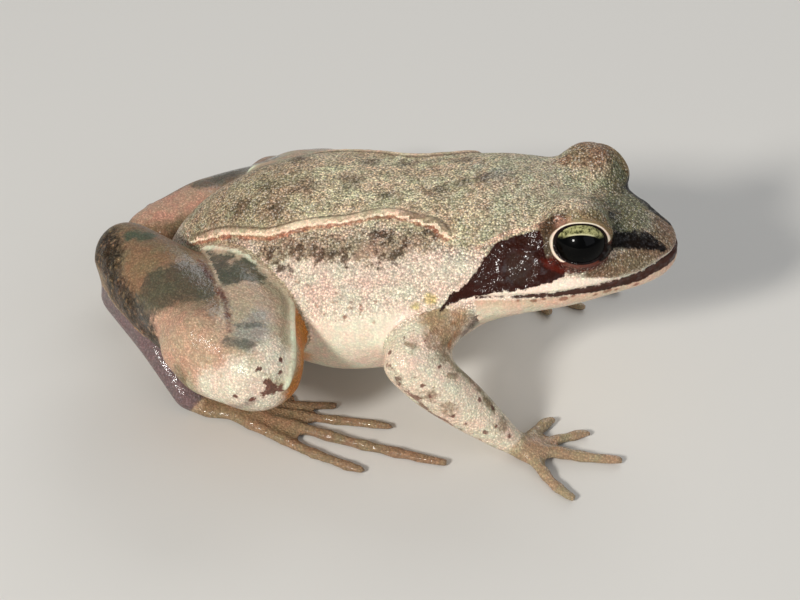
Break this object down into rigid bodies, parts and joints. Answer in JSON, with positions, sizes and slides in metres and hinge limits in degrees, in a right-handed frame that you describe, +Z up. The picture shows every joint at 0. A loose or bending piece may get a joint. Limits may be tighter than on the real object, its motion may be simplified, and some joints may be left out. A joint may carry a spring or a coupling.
{
  "type": "common frog",
  "caption": "Life-size still model of a brown frog sitting with raised chest, folded hind legs, webbed hind feet, dark ear mask and large eyes.",
  "frame": {"origin": "middle of the frog's bounding box, at the level of the floor under its hands and feet", "axes": "+X is the way the snout points, +Y is the frog's left side, +Z is up"},
  "size_m": [0.0704, 0.0564, 0.0296],
  "materials": {
    "skin": "moist, finely granular skin",
    "eardrum": "smooth, taut skin",
    "eye": "wet, clear-coated"
  },
  "bodies": {
    "root": {"trunk": "skin", "head": "skin", "lower_jaw": "skin", "eye_left": "eye", "eye_right": "eye", "ear_left": "eardrum", "ear_right": "eardrum", "upper_arm_left": "skin", "upper_arm_right": "skin", "forearm_left": "skin", "forearm_right": "skin", "hand_left": "skin", "hand_right": "skin", "thigh_left": "skin", "thigh_right": "skin", "shank_left": "skin", "shank_right": "skin", "tarsus_left": "skin", "tarsus_right": "skin", "foot_left": "skin", "foot_right": "skin"}
  },
  "joints": []
}
